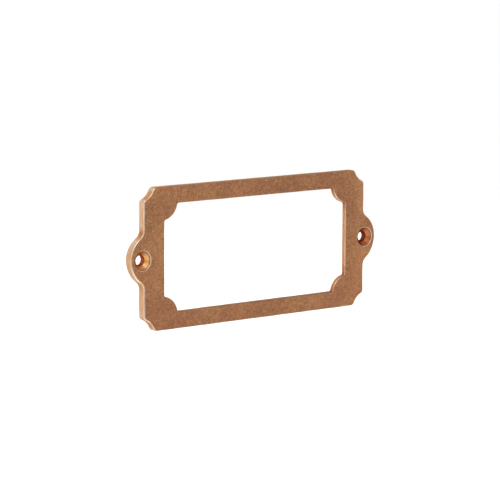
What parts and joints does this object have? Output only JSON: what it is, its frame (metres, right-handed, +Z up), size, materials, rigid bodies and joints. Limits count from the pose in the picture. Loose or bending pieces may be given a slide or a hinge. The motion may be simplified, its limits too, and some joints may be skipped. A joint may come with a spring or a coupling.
{
  "type": "drawer label holder",
  "caption": "Cast metal drawer label holder with notched corners, a lobed card window, screw ears and an aged brown finish",
  "frame": {"origin": "Midway between the two screw holes, on the plane of the flat back that lies on the drawer front.", "axes": "+X runs along the length from one screw ear to the other, +Z is up, and the front face looks towards -Y."},
  "size_m": [0.0838, 0.003, 0.0382],
  "materials": {
    "frame": "aged warm brown brass with paler worn edges"
  },
  "bodies": {
    "root": {"frame": "frame"}
  },
  "joints": []
}
